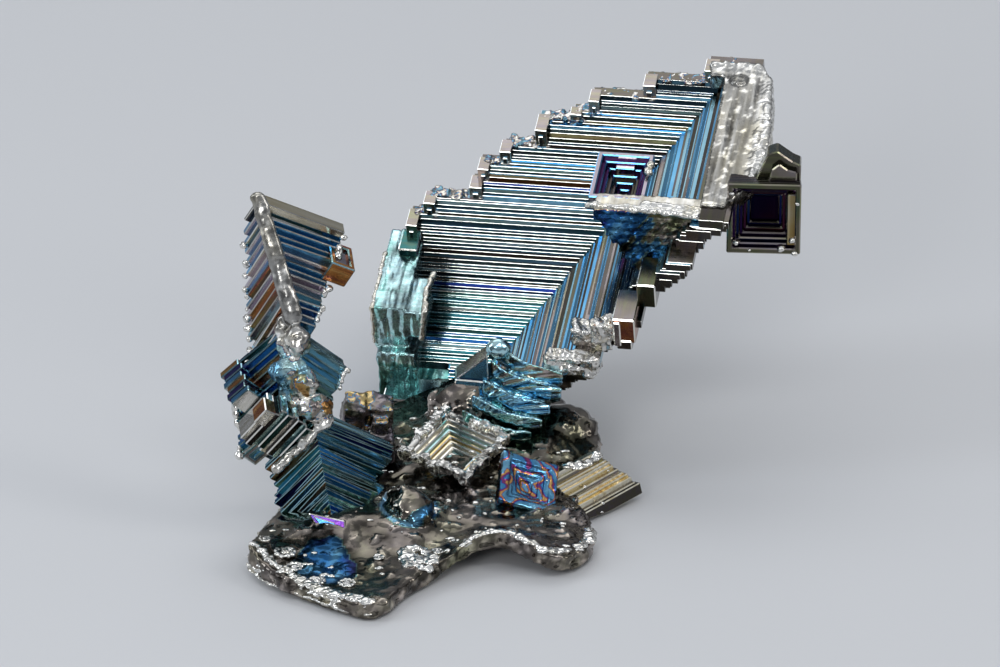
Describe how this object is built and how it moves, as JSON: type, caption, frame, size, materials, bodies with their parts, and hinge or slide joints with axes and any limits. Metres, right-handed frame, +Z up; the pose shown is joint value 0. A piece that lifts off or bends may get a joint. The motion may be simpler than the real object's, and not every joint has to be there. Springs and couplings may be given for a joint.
{
  "type": "bismuth hopper crystal",
  "caption": "Free-standing hopper crystal cluster: a leaning blade of square terraces, a stepped tower and small open hoppers on a crust of metal.",
  "frame": {"origin": "centre of the bounding box, on the surface that the crust stands on", "axes": "+Z up, +Y away from the side that is shown as the front, +X to the right"},
  "size_m": [0.0488, 0.0506, 0.0293],
  "materials": {
    "oxidised_bismuth": "bare metal under a thin iridescent oxide film: steel blue, teal, gold and violet, glossy with satin treads"
  },
  "bodies": {
    "root": {"bismuth_crystal": "oxidised_bismuth"}
  },
  "joints": []
}
